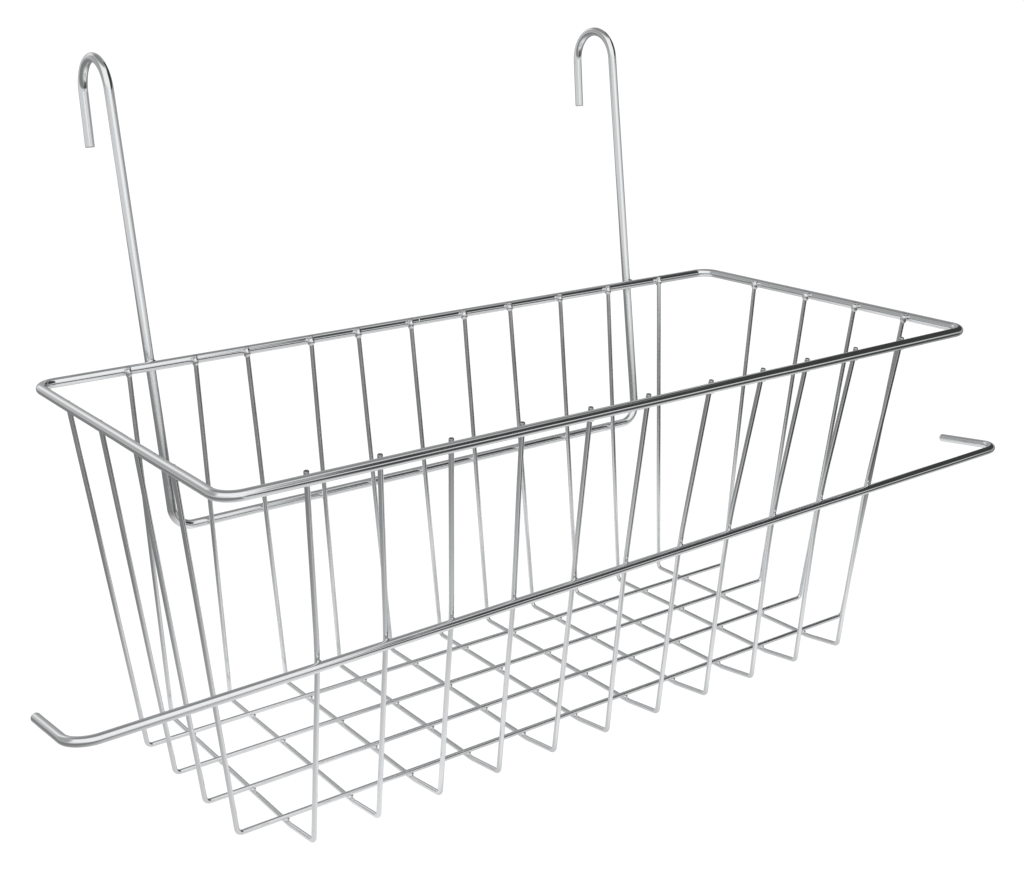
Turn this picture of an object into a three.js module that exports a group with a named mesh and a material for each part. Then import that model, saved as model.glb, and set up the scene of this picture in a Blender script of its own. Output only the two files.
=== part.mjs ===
// Chrome wire basket that hangs from the rail of a cleaning cart by two hooks.
// Millimetres, +Z up. X runs along the basket, -Y is the front and +Y the side of the cart.
// The origin is the middle of the floor, on the underside of the middle cross wire.
// Every piece is one bent wire. Wires that are welded together lie a small weld gap apart.

import * as THREE from 'three';

// Wire stock
const RIM_WIRE = 5;
const HANGER_WIRE = 5;
const BAR_WIRE = 4;
const MESH_WIRE = 2.5;
const WELD_GAP = 0.3;

// Rim: outside sizes, and how far its middle lies to the right of the middle cross wire and in front of it,
// because the back wall stands steeper than the front wall.
const RIM_LENGTH = 456;
const RIM_WIDTH = 216.5;
const RIM_CORNER_RADIUS = 10;
const RIM_RIGHT = 1;
const RIM_FORWARD = 9.5;
const BASKET_HEIGHT = 196;

// Floor: from bend to bend, measured where the wall and floor lines of a wire meet. The long wires lie
// a little to the right, so the left wall leans more, and the cross wires rise to a lip at the front.
const FLOOR_LENGTH = 409;
const FLOOR_WIDTH = 160;
const FLOOR_RIGHT = 4;
const FRONT_LIP_RISE = 3;
const FRONT_LIP_FROM_LONG_WIRE = 4;
const MESH_BEND_RADIUS = 3;

// Wire grid: even spacing on the floor, and at the rim where the wires fan out. The tips were welded to the
// rim by hand: the long wires' tips lie further back on the left and further forward on the right, and
// each back tip of a cross wire lies to the left (-) or right (+) of its even place. Tips end a little
// above the rim's top, but on the left they end below its middle.
const CROSS_COUNT = 11;
const CROSS_PITCH = 35;
const CROSS_FRONT_PITCH = 36.5;
const LONG_COUNT = 4;
const LONG_PITCH = 35;
const LONG_RIM_PITCH = 41;
const LEFT_TIPS_BACK = 11.5;
const RIGHT_TIPS_FORWARD = 7;
const BACK_TIP_SHIFTS = [-2, 0, -5, -1, -6, -6, -4, -6, -3, 0, 7];
const TIP_ABOVE_RIM_MIDDLE = 2.8;
const LEFT_TIP_BELOW_RIM_MIDDLE = 1;

// Hanger: legs behind the rim, a run across the back wall and a hook on each leg. The legs splay a little,
// and each hook's tip points a little away from its leg, so that the hook slips over a rail.
const HANGER_RUN_LENGTH = 322;
const HOOK_SPAN = 328;
const HANGER_RUN_DROP = 89;
const HANGER_BEND_RADIUS = 11;
const LEG_ABOVE_RIM = 139.5;
const HOOK_MOUTH = 30;
const HOOK_TIP_LENGTH = 28.5;
const HOOK_FLARE = THREE.MathUtils.degToRad(3.5);

// Front bar: across the front wall, welded on a slight slant and a little to the left, with both ends bent
// back and a little down.
const BAR_LENGTH = 573;
const BAR_LEFT = 2;
const BAR_DROP = 88.5;
const BAR_RISE = 11;
const BAR_BEND_RADIUS = 12;
const BAR_RETURN = 43;
const BAR_RETURN_DROP = 5;

// Fineness of the wires: flats around the section, and the turn between two rings in a bend.
const THICK_SIDES = 12;
const THIN_SIDES = 8;
const BEND_STEP = THREE.MathUtils.degToRad(15);

const X_AXIS = new THREE.Vector3(1, 0, 0);
const Y_AXIS = new THREE.Vector3(0, 1, 0);

// Heights and half sizes that follow from the driving dimensions
const crossFloorZ = MESH_WIRE / 2;
const longFloorZ = crossFloorZ + MESH_WIRE + WELD_GAP;
const rimZ = BASKET_HEIGHT - RIM_WIRE / 2;
const tipZ = rimZ + TIP_ABOVE_RIM_MIDDLE;
const leftTipZ = rimZ - LEFT_TIP_BELOW_RIM_MIDDLE;
const rimHalfLength = (RIM_LENGTH - RIM_WIRE) / 2;
const rimHalfWidth = (RIM_WIDTH - RIM_WIRE) / 2;
const insideRim = (RIM_WIRE + MESH_WIRE) / 2 + WELD_GAP;
const rimFrontY = -RIM_FORWARD - rimHalfWidth;
const rimBackY = -RIM_FORWARD + rimHalfWidth;

const chrome = (name, color, roughness) =>
  new THREE.MeshStandardMaterial({ name, color, roughness, metalness: 1 });
const frameChrome = chrome('frame_chrome', 0xc9ccce, 0.14);
const meshChrome = chrome('mesh_chrome', 0xbfc3c6, 0.2);

// Path of a wire as rings: straight runs have a ring at each end, bends one every few degrees. A direction
// across the wire, where one is given, keeps the section's flats level on the floor.
class WirePath extends THREE.Curve {
  constructor(rings, across) {
    super();
    this.rings = rings;
    this.across = across;
  }

  computeFrenetFrames(segments, closed) {
    if (!this.across) return super.computeFrenetFrames(segments, closed);
    const tangents = this.rings.map((ring) => ring.tangent);
    const binormals = tangents.map((tangent) => tangent.clone().cross(this.across).normalize());
    const normals = binormals.map((binormal, i) => binormal.clone().cross(tangents[i]));
    return { tangents, normals, binormals };
  }

  get steps() {
    return this.rings.length - 1;
  }

  ringAt(t) {
    return this.rings[Math.round(t * this.steps)];
  }

  getUtoTmapping(u) {
    return u;
  }

  getPoint(t, target = new THREE.Vector3()) {
    return target.copy(this.ringAt(t).point);
  }

  getTangent(t, target = new THREE.Vector3()) {
    return target.copy(this.ringAt(t).tangent);
  }
}

// Rings of a bend of the given radius where the runs before -> corner -> after meet.
function bendRings(before, corner, after, radius) {
  const into = corner.clone().sub(before).normalize();
  const out = after.clone().sub(corner).normalize();
  const turn = into.angleTo(out);
  const axis = into.clone().cross(out).normalize();
  const start = corner.clone().addScaledVector(into, -radius * Math.tan(turn / 2));
  const centre = start.clone().addScaledVector(axis.clone().cross(into), radius);
  const steps = Math.max(2, Math.ceil(turn / BEND_STEP));
  const rings = [];
  for (let i = 0; i <= steps; i += 1) {
    const angle = (turn * i) / steps;
    const point = start.clone().sub(centre).applyAxisAngle(axis, angle).add(centre);
    rings.push({ point, tangent: into.clone().applyAxisAngle(axis, angle) });
  }
  return rings;
}

// Rings of an open wire through the corners, all bent to one radius.
function openRings(corners, radius) {
  const last = corners.length - 1;
  const direction = (from, to) => corners[to].clone().sub(corners[from]).normalize();
  const rings = [{ point: corners[0], tangent: direction(0, 1) }];
  for (let i = 1; i < last; i += 1) {
    rings.push(...bendRings(corners[i - 1], corners[i], corners[i + 1], radius));
  }
  rings.push({ point: corners[last], tangent: direction(last - 1, last) });
  return rings;
}

// Rings of a closed wire. The first ring comes again at the end, where the wire is butt welded.
function closedRings(corners, radius) {
  const count = corners.length;
  const rings = [];
  for (let i = 0; i < count; i += 1) {
    const before = corners[(i + count - 1) % count];
    rings.push(...bendRings(before, corners[i], corners[(i + 1) % count], radius));
  }
  rings.push(rings[0]);
  return rings;
}

// Round wire section, drawn with flats that face along and across the wire's own plane.
function wireSection(diameter, sides) {
  const section = new THREE.Shape();
  const cornerRadius = diameter / 2 / Math.cos(Math.PI / sides);
  for (let i = 0; i < sides; i += 1) {
    const angle = ((i + 0.5) * 2 * Math.PI) / sides;
    const x = cornerRadius * Math.cos(angle);
    const y = cornerRadius * Math.sin(angle);
    if (i === 0) section.moveTo(x, y);
    else section.lineTo(x, y);
  }
  return section;
}

function wireGeometry(rings, diameter, sides, across = null) {
  const path = new WirePath(rings, across);
  const options = { steps: path.steps, extrudePath: path, bevelEnabled: false };
  return new THREE.ExtrudeGeometry(wireSection(diameter, sides), options);
}

// Skin of a closed wire: the two end lids meet at the butt weld and are left out.
function loopGeometry(rings, diameter, sides) {
  const tube = wireGeometry(rings, diameter, sides);
  const skin = tube.groups[1];
  const position = tube.getAttribute('position').array;
  const points = position.slice(skin.start * 3, (skin.start + skin.count) * 3);
  const loop = new THREE.BufferGeometry();
  loop.setAttribute('position', new THREE.BufferAttribute(points, 3));
  loop.computeVertexNormals();
  return loop;
}

function addWire(group, name, geometry, material) {
  const mesh = new THREE.Mesh(geometry, material);
  mesh.name = name;
  group.add(mesh);
}

// Middle of the cross wires' wall run at a height: side -1 is the front wall, +1 the back wall.
function crossWallY(side, z) {
  const tipY = (side < 0 ? rimFrontY : rimBackY) - side * insideRim;
  const footY = (side * FLOOR_WIDTH) / 2;
  return THREE.MathUtils.mapLinear(z, wallFootZ(side), rimZ, footY, tipY);
}

// Height at which a wall run of the cross wires starts.
function wallFootZ(side) {
  return side < 0 ? crossFloorZ + FRONT_LIP_RISE : crossFloorZ;
}

// Distance of a wire's middle, measured level, when it lies against the outside of a wall.
function outsideWall(side, diameter) {
  const foot = wallFootZ(side);
  const lean = Math.atan2(crossWallY(side, rimZ) - crossWallY(side, foot), rimZ - foot);
  return ((MESH_WIRE + diameter) / 2 + WELD_GAP) / Math.cos(lean);
}

function makeRim(group) {
  const corner = (x, y) => new THREE.Vector3(RIM_RIGHT + x, y, rimZ);
  const corners = [
    corner(-rimHalfLength, rimFrontY),
    corner(rimHalfLength, rimFrontY),
    corner(rimHalfLength, rimBackY),
    corner(-rimHalfLength, rimBackY),
  ];
  const rings = closedRings(corners, RIM_CORNER_RADIUS);
  addWire(group, 'rim', loopGeometry(rings, RIM_WIRE, THICK_SIDES), frameChrome);
}

// U-shaped wire from the back rim, under the basket, over the front lip and up to the front rim.
function makeCrossWires(group) {
  const lipY = (-(LONG_COUNT - 1) * LONG_PITCH) / 2 - FRONT_LIP_FROM_LONG_WIRE;
  for (let i = 0; i < CROSS_COUNT; i += 1) {
    const place = i - (CROSS_COUNT - 1) / 2;
    const x = place * CROSS_PITCH;
    const corners = [
      new THREE.Vector3(x + (BACK_TIP_SHIFTS[i] ?? 0), crossWallY(1, tipZ), tipZ),
      new THREE.Vector3(x, FLOOR_WIDTH / 2, crossFloorZ),
      new THREE.Vector3(x, lipY, crossFloorZ),
      new THREE.Vector3(x, -FLOOR_WIDTH / 2, wallFootZ(-1)),
      new THREE.Vector3(place * CROSS_FRONT_PITCH, crossWallY(-1, tipZ), tipZ),
    ];
    const name = `cross_wire_${String(i + 1).padStart(2, '0')}`;
    const rings = openRings(corners, MESH_BEND_RADIUS);
    addWire(group, name, wireGeometry(rings, MESH_WIRE, THIN_SIDES, X_AXIS), meshChrome);
  }
}

// U-shaped wire from the left rim, along the floor on top of the cross wires, up to the right rim.
function makeLongWires(group) {
  const tipX = rimHalfLength - insideRim;
  for (let i = 0; i < LONG_COUNT; i += 1) {
    const place = (LONG_COUNT - 1) / 2 - i;
    const y = place * LONG_PITCH;
    const wallEnd = (z, side) => {
      const footX = FLOOR_RIGHT + (side * FLOOR_LENGTH) / 2;
      const tipY = place * LONG_RIM_PITCH - RIM_FORWARD + (side < 0 ? LEFT_TIPS_BACK : -RIGHT_TIPS_FORWARD);
      return new THREE.Vector3(
        THREE.MathUtils.mapLinear(z, longFloorZ, rimZ, footX, RIM_RIGHT + side * tipX),
        THREE.MathUtils.mapLinear(z, longFloorZ, rimZ, y, tipY),
        z,
      );
    };
    const corners = [
      wallEnd(leftTipZ, -1),
      wallEnd(longFloorZ, -1),
      wallEnd(longFloorZ, 1),
      wallEnd(tipZ, 1),
    ];
    const rings = openRings(corners, MESH_BEND_RADIUS);
    addWire(group, `long_wire_${i + 1}`, wireGeometry(rings, MESH_WIRE, THIN_SIDES, Y_AXIS), meshChrome);
  }
}

// One wire: hook, leg behind the rim, run across the outside of the back wall, leg and hook.
function makeHanger(group) {
  const half = HANGER_RUN_LENGTH / 2;
  const hookRadius = (HOOK_MOUTH + HANGER_WIRE) / 2;
  const runZ = rimZ - HANGER_RUN_DROP;
  const runY = crossWallY(1, runZ) + outsideWall(1, HANGER_WIRE);
  const passY = rimBackY + (RIM_WIRE + HANGER_WIRE) / 2 + WELD_GAP;
  const up = new THREE.Vector3(0, passY - runY, rimZ - runZ).normalize();
  const back = new THREE.Vector3(0, up.z, -up.y);
  const legLength = LEG_ABOVE_RIM / up.z;
  const tipWay = up.clone().negate().applyAxisAngle(X_AXIS, HOOK_FLARE);
  const farReach = hookRadius * Math.tan((Math.PI / 2 - HOOK_FLARE) / 2);

  const hookCorners = (x) => {
    const legTop = new THREE.Vector3(x, passY, rimZ).addScaledVector(up, legLength);
    const bow = legTop.clone().addScaledVector(up, hookRadius);
    const farBow = bow.clone().addScaledVector(back, hookRadius + farReach);
    const tip = farBow.clone().addScaledVector(tipWay, farReach + HOOK_TIP_LENGTH);
    return { bow, farBow, tip };
  };
  const left = hookCorners(-HOOK_SPAN / 2);
  const right = hookCorners(HOOK_SPAN / 2);
  const foot = (x) => new THREE.Vector3(RIM_RIGHT + x, runY, runZ);

  const first = (point, next) => ({ point, tangent: next.clone().sub(point).normalize() });
  const rings = [
    first(left.tip, left.farBow),
    ...bendRings(left.tip, left.farBow, left.bow, hookRadius),
    ...bendRings(left.farBow, left.bow, foot(-half), hookRadius).slice(1),
    ...bendRings(left.bow, foot(-half), foot(half), HANGER_BEND_RADIUS),
    ...bendRings(foot(-half), foot(half), right.bow, HANGER_BEND_RADIUS),
    ...bendRings(foot(half), right.bow, right.farBow, hookRadius),
    ...bendRings(right.bow, right.farBow, right.tip, hookRadius).slice(1),
    { point: right.tip, tangent: tipWay },
  ];
  addWire(group, 'hanger', wireGeometry(rings, HANGER_WIRE, THICK_SIDES), frameChrome);
}

// Straight wire against the outside of the front wall, longer than the basket, with its ends bent back.
function makeFrontBar(group) {
  const half = BAR_LENGTH / 2;
  const corner = (side) => {
    const z = rimZ - BAR_DROP + (side * BAR_RISE) / 2;
    return new THREE.Vector3(side * half - BAR_LEFT, crossWallY(-1, z) - outsideWall(-1, BAR_WIRE), z);
  };
  const left = corner(-1);
  const right = corner(1);
  const back = new THREE.Vector3(0, BAR_RETURN, -BAR_RETURN_DROP);
  const corners = [left.clone().add(back), left, right, right.clone().add(back)];
  const rings = openRings(corners, BAR_BEND_RADIUS);
  addWire(group, 'front_bar', wireGeometry(rings, BAR_WIRE, THICK_SIDES), frameChrome);
}

const basket = new THREE.Group();
basket.name = 'cleaning_cart_basket';
makeRim(basket);
makeCrossWires(basket);
makeLongWires(basket);
makeHanger(basket);
makeFrontBar(basket);

export default basket;
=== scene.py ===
# %% [markdown]
# # A chrome wire basket for a cleaning cart
# The basket is made of bent steel wire, welded where the wires touch and then chrome plated as a whole.
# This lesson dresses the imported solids: every faceted wire gets a smooth, round twin in the same place,
# every welded touch gets its bead of metal, and the plating gets its marks.

# %% Load the frame
import math
from collections import namedtuple

import bpy
from mathutils import Matrix, Vector


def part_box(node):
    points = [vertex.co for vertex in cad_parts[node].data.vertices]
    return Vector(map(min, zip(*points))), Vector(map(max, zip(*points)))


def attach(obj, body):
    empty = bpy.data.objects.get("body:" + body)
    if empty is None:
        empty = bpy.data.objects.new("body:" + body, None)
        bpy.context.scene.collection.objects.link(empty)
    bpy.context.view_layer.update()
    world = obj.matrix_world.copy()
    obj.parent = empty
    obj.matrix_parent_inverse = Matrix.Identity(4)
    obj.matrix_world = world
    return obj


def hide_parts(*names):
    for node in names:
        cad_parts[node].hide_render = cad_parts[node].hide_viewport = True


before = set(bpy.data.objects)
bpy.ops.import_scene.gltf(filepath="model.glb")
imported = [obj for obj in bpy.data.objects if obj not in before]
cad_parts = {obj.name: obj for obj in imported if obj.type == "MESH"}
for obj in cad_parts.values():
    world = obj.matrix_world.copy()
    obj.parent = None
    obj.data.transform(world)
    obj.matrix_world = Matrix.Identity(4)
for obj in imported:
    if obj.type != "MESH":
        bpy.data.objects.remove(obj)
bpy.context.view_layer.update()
MM = 0.001
print("solids in the frame:", len(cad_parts))

# %% [markdown]
# ## The camera
# The picture looks down on the basket from the front left. The place, the turn and the focal length come
# from matching the floor grid, the rim and the hooks of the picture with a perspective camera. A camera
# could be aimed with a constraint, but three axes are easier to check: forward, right and up, with a small
# roll about forward.

# %% Camera axes
VIEW_TURN = math.radians(35.56)
VIEW_DOWN = math.radians(17.45)
VIEW_ROLL = math.radians(-0.80)


def camera_axes(turn, down, roll):
    forward = Vector((math.sin(turn) * math.cos(down), math.cos(turn) * math.cos(down), -math.sin(down)))
    level_right = Vector((math.cos(turn), -math.sin(turn), 0.0))
    level_up = level_right.cross(forward)
    right = level_right * math.cos(roll) + level_up * math.sin(roll)
    return forward, right, right.cross(forward)


view_forward, view_right, view_up = camera_axes(VIEW_TURN, VIEW_DOWN, VIEW_ROLL)
print("the camera looks along:", [round(value, 3) for value in view_forward])

# %% Camera
CAMERA_PLACE = Vector((-461.6, -643.4, 396.7)) * MM
FOCAL_PIXELS = 1538
IMAGE_WIDTH = 1024
SENSOR_WIDTH = 36.0


def add_camera():
    data = bpy.data.cameras.new("camera")
    data.sensor_width = SENSOR_WIDTH
    data.lens = FOCAL_PIXELS * SENSOR_WIDTH / IMAGE_WIDTH
    camera = bpy.data.objects.new("camera", data)
    turn = Matrix((view_right, view_up, -view_forward)).transposed().to_4x4()
    camera.matrix_world = Matrix.Translation(CAMERA_PLACE) @ turn
    bpy.context.scene.collection.objects.link(camera)
    bpy.context.scene.camera = camera
    return camera


camera = add_camera()
print("lens in mm:", round(camera.data.lens, 2))

# %% [markdown]
# ## Node helpers
# Geometry trees and shader trees are built from the same few moves: make a node, fill its inputs and
# link them. One helper does that, and a few more name the nodes that come often. An input takes a plain
# value or another node's output.

# %% Add a node


def add_node(tree, kind, inputs=None, **settings):
    node = tree.nodes.new(kind)
    for key, setting in settings.items():
        setattr(node, key, setting)
    for key, value in (inputs or {}).items():
        if isinstance(value, bpy.types.NodeSocket):
            tree.links.new(value, node.inputs[key])
        else:
            node.inputs[key].default_value = value
    return node


print("nodes are made by:", add_node.__name__)

# %% Nodes that come often


def math_node(tree, operation, first, second=0.0, clamp=False):
    node = add_node(tree, "ShaderNodeMath", {0: first, 1: second}, operation=operation, use_clamp=clamp)
    return node.outputs[0]


def vector_node(tree, operation, first, second=(0.0, 0.0, 0.0)):
    node = add_node(tree, "ShaderNodeVectorMath", {0: first, 1: second}, operation=operation)
    return node.outputs["Value" if operation in ("DOT_PRODUCT", "LENGTH") else "Vector"]


def scale_vector(tree, vector, factor):
    return add_node(tree, "ShaderNodeVectorMath", {0: vector, "Scale": factor}, operation="SCALE").outputs[0]


def map_range(tree, value, low, high, to_low, to_high):
    limits = {"Value": value, "From Min": low, "From Max": high, "To Min": to_low, "To Max": to_high}
    return add_node(tree, "ShaderNodeMapRange", limits, interpolation_type="SMOOTHSTEP").outputs[0]


def mix_value(tree, share, first, second):
    return add_node(tree, "ShaderNodeMix", {0: share, 2: first, 3: second}, data_type="FLOAT").outputs[0]


helpers = (math_node, vector_node, scale_vector, map_range, mix_value)
print("node helpers:", ", ".join(helper.__name__ for helper in helpers))

# %% [markdown]
# ## Groups
# A tree that is used again and again is a group with named sockets, so that each use sets its own values.

# %% New group


def new_group(kind, name, inputs, outputs):
    """A node tree with named sockets: inputs and outputs hold (name, socket type, default value)."""
    tree = bpy.data.node_groups.new(name, kind)
    for way, sockets in (("INPUT", inputs), ("OUTPUT", outputs)):
        for label, socket_type, default in sockets:
            socket = tree.interface.new_socket(label, in_out=way, socket_type=socket_type)
            if default is not None:
                socket.default_value = default
    return tree, tree.nodes.new("NodeGroupInput"), tree.nodes.new("NodeGroupOutput")


print("groups are made by:", new_group.__name__)

# %% [markdown]
# ## The finish: chrome plate on drawn wire
# Chrome shows almost nothing of its own colour: it mirrors the room. What makes it look real is what the
# wire brings along: fine marks along the wire from the drawing die, a faint cloudiness of the plating and
# a few pits. The marks follow the wire, so they read an attribute that the wire's geometry tree writes:
# the distance along the wire and the place around it. The clouds and pits read Object coordinates.

# %% Marks of the drawing die


def drawing_marks_group():
    """Long, narrow streaks along the wire."""
    inputs = [
        ("Place", "NodeSocketVector", None),
        ("Streak Length", "NodeSocketFloat", 0.02),
        ("Streak Width", "NodeSocketFloat", 0.0004),
    ]
    outputs = [("Streaks", "NodeSocketFloat", None)]
    tree, given, result = new_group("ShaderNodeTree", "drawing_marks", inputs, outputs)
    place = add_node(tree, "ShaderNodeSeparateXYZ", {0: given.outputs["Place"]})
    sizes = ("Streak Length", "Streak Width", "Streak Width")
    scaled = {
        axis: math_node(tree, "DIVIDE", place.outputs[axis], given.outputs[size])
        for axis, size in enumerate(sizes)
    }
    stretched = add_node(tree, "ShaderNodeCombineXYZ", scaled).outputs[0]
    look = {"Vector": stretched, "Scale": 1.0, "Detail": 4.0, "Roughness": 0.6}
    noise = add_node(tree, "ShaderNodeTexNoise", look)
    tree.links.new(noise.outputs["Fac"], result.inputs["Streaks"])
    return tree


DRAWING_MARKS = drawing_marks_group()
print("shader group:", DRAWING_MARKS.name, "with", len(DRAWING_MARKS.nodes), "nodes")

# %% Clouds and pits of the plating
PIT_EDGE = (0.03, 0.1)


def plating_group():
    """Cloudiness of the plating and the pits in it."""
    inputs = [("Cloud Size", "NodeSocketFloat", 0.03), ("Pit Spacing", "NodeSocketFloat", 0.004)]
    outputs = [("Clouds", "NodeSocketFloat", None), ("Pits", "NodeSocketFloat", None)]
    tree, given, result = new_group("ShaderNodeTree", "plating", inputs, outputs)
    place = add_node(tree, "ShaderNodeTexCoord").outputs["Object"]
    cloud_scale = math_node(tree, "DIVIDE", 1.0, given.outputs["Cloud Size"])
    clouds = add_node(tree, "ShaderNodeTexNoise", {"Vector": place, "Scale": cloud_scale, "Detail": 3.0})
    pit_scale = math_node(tree, "DIVIDE", 1.0, given.outputs["Pit Spacing"])
    cells = add_node(tree, "ShaderNodeTexVoronoi", {"Vector": place, "Scale": pit_scale, "Randomness": 1.0})
    pits = map_range(tree, cells.outputs["Distance"], *PIT_EDGE, 1.0, 0.0)
    tree.links.new(clouds.outputs["Fac"], result.inputs["Clouds"])
    tree.links.new(pits, result.inputs["Pits"])
    return tree


PLATING = plating_group()
print("shader group:", PLATING.name, "with", len(PLATING.nodes), "nodes")

# %% [markdown]
# ## Three chromes
# The thick wires are the smoothest, the thin ones are a little duller, and the beads of weld metal are
# rough under their plating. All three are one material with other values: a full metal, duller where marks
# and clouds meet, darker in the pits, and a touch uneven along the marks. The ends that the shears left are
# grey and dull, because plating is thin on a torn face.

# %% Chrome material
Finish = namedtuple("Finish", "color pit_color smooth rough streak_length streak_width mark_height")
DULL_FROM, DULL_TO = 0.12, 0.42
MARK_STRENGTH = 0.25
CUT_COLOR = (0.3, 0.3, 0.3, 1.0)
CUT_ROUGHNESS = 0.5


def chrome(name, finish):
    material = bpy.data.materials.new(name)
    material.use_nodes = True
    tree = material.node_tree
    surface = tree.nodes["Principled BSDF"]
    surface.inputs["Metallic"].default_value = 1.0
    place = add_node(tree, "ShaderNodeAttribute", attribute_name="wire_place").outputs["Vector"]
    sizes = {"Place": place, "Streak Length": finish.streak_length, "Streak Width": finish.streak_width}
    streaks = add_node(tree, "ShaderNodeGroup", node_tree=DRAWING_MARKS, inputs=sizes).outputs["Streaks"]
    plating = add_node(tree, "ShaderNodeGroup", node_tree=PLATING)
    dull = math_node(tree, "MULTIPLY", streaks, plating.outputs["Clouds"])
    roughness = map_range(tree, dull, DULL_FROM, DULL_TO, finish.smooth, finish.rough)
    colors = {0: plating.outputs["Pits"], 6: (*finish.color, 1.0), 7: (*finish.pit_color, 1.0)}
    color = add_node(tree, "ShaderNodeMix", colors, data_type="RGBA").outputs[2]
    cut = add_node(tree, "ShaderNodeAttribute", attribute_name="cut_end").outputs["Fac"]
    color = add_node(tree, "ShaderNodeMix", {0: cut, 6: color, 7: CUT_COLOR}, data_type="RGBA").outputs[2]
    roughness = mix_value(tree, cut, roughness, CUT_ROUGHNESS)
    marks = {"Height": streaks, "Strength": MARK_STRENGTH, "Distance": finish.mark_height}
    bump = add_node(tree, "ShaderNodeBump", marks).outputs["Normal"]
    tree.links.new(roughness, surface.inputs["Roughness"])
    tree.links.new(color, surface.inputs["Base Color"])
    tree.links.new(bump, surface.inputs["Normal"])
    return material


print("values of a finish:", ", ".join(Finish._fields))

# %% The basket's chromes
FRAME_FINISH = Finish(
    color=(0.80, 0.81, 0.82),
    pit_color=(0.62, 0.63, 0.64),
    smooth=0.06,
    rough=0.16,
    streak_length=0.03,
    streak_width=0.0005,
    mark_height=0.00002,
)
MESH_FINISH = Finish(
    color=(0.77, 0.78, 0.79),
    pit_color=(0.58, 0.59, 0.60),
    smooth=0.09,
    rough=0.22,
    streak_length=0.02,
    streak_width=0.0004,
    mark_height=0.00002,
)
WELD_FINISH = Finish(
    color=(0.78, 0.78, 0.78),
    pit_color=(0.50, 0.49, 0.48),
    smooth=0.12,
    rough=0.34,
    streak_length=0.002,
    streak_width=0.0012,
    mark_height=0.00006,
)

FRAME_CHROME = chrome("frame_chrome_plate", FRAME_FINISH)
MESH_CHROME = chrome("mesh_chrome_plate", MESH_FINISH)
WELD_CHROME = chrome("weld_chrome_plate", WELD_FINISH)
print("chromes:", ", ".join(material.name for material in (FRAME_CHROME, MESH_CHROME, WELD_CHROME)))

# %% [markdown]
# ## One tree bends every wire
# A wire is a round section swept along a path. A curve with a bevel would do it, but a geometry tree can
# also let the wire wander a little as hand-bent wire does, round its cut ends, and write the attribute that
# the finish reads. The path comes in as a chain of points.

# %% Attributes and dress


def store(tree, geometry, name, value, data_type="FLOAT_VECTOR"):
    """Writes a value on each point, under a name that later nodes and materials read."""
    inputs = {"Geometry": geometry, "Name": name, "Value": value}
    node = add_node(tree, "GeometryNodeStoreNamedAttribute", inputs, data_type=data_type, domain="POINT")
    return node.outputs[0]


def recall(tree, name, data_type="FLOAT_VECTOR"):
    return add_node(tree, "GeometryNodeInputNamedAttribute", {"Name": name}, data_type=data_type).outputs[0]


def dress(tree, geometry, material):
    """The end of a tree: smooth faces, real geometry and its material."""
    smooth = add_node(tree, "GeometryNodeSetShadeSmooth", {"Geometry": geometry}).outputs[0]
    real = add_node(tree, "GeometryNodeRealizeInstances", {0: smooth}).outputs[0]
    return add_node(tree, "GeometryNodeSetMaterial", {"Geometry": real, "Material": material}).outputs[0]


print("tree helpers:", ", ".join(helper.__name__ for helper in (store, recall, dress)))

# %% Wandering path
NOISE_MIDDLE = 0.5


def wandering_path(tree, given):
    """The path as a curve, moved a little by noise."""
    curve = add_node(tree, "GeometryNodeMeshToCurve", {0: given.outputs["Path"]}).outputs[0]
    look = {
        "Vector": add_node(tree, "GeometryNodeInputPosition").outputs[0],
        "W": given.outputs["Seed"],
        "Scale": math_node(tree, "DIVIDE", 1.0, given.outputs["Wander Length"]),
        "Detail": 1.0,
    }
    noise = add_node(tree, "ShaderNodeTexNoise", look, noise_dimensions="4D")
    centred = vector_node(tree, "SUBTRACT", noise.outputs["Color"], (NOISE_MIDDLE,) * 3)
    drift = scale_vector(tree, centred, given.outputs["Wander"])
    return add_node(tree, "GeometryNodeSetPosition", {"Geometry": curve, "Offset": drift}).outputs[0]


print("a path is moved by:", wandering_path.__name__)

# %% Cut ends
LEAST_EDGE = 1e-6


def cut_share(tree, given):
    """One at a cut end and zero along the wire, and zero all along a closed wire, which has no cut edge."""
    along = add_node(tree, "GeometryNodeSplineParameter").outputs["Length"]
    total = add_node(tree, "GeometryNodeSplineLength").outputs["Length"]
    from_end = math_node(tree, "MINIMUM", along, math_node(tree, "SUBTRACT", total, along))
    edge = math_node(tree, "MAXIMUM", given.outputs["Cut Edge"], LEAST_EDGE)
    near_end = math_node(tree, "SUBTRACT", 1.0, math_node(tree, "DIVIDE", from_end, edge), clamp=True)
    return math_node(tree, "MULTIPLY", near_end, math_node(tree, "DIVIDE", given.outputs["Cut Edge"], edge))


def cut_end_scale(tree, given, radius):
    """Scale of the section: one along the wire, and less in a quarter round at each cut end."""
    cut = cut_share(tree, given)
    level = math_node(tree, "SUBTRACT", 1.0, math_node(tree, "MULTIPLY", cut, cut))
    drop = math_node(tree, "SUBTRACT", 1.0, math_node(tree, "SQRT", level))
    shrink = math_node(tree, "MULTIPLY", drop, math_node(tree, "DIVIDE", given.outputs["Cut Edge"], radius))
    return math_node(tree, "SUBTRACT", 1.0, shrink)


print("a cut end is shaped by:", cut_share.__name__, cut_end_scale.__name__)

# %% Inputs of a wire
WIRE_INPUTS = [
    ("Path", "NodeSocketGeometry", None),
    ("Wire Diameter", "NodeSocketFloat", 0.0025),
    ("Sides", "NodeSocketInt", 24),
    ("Cut Edge", "NodeSocketFloat", 0.0003),
    ("Wander", "NodeSocketFloat", 0.0002),
    ("Wander Length", "NodeSocketFloat", 0.05),
    ("Seed", "NodeSocketFloat", 0.0),
    ("Material", "NodeSocketMaterial", None),
]
print("a wire takes:", ", ".join(label for label, socket_type, default in WIRE_INPUTS))

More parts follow.
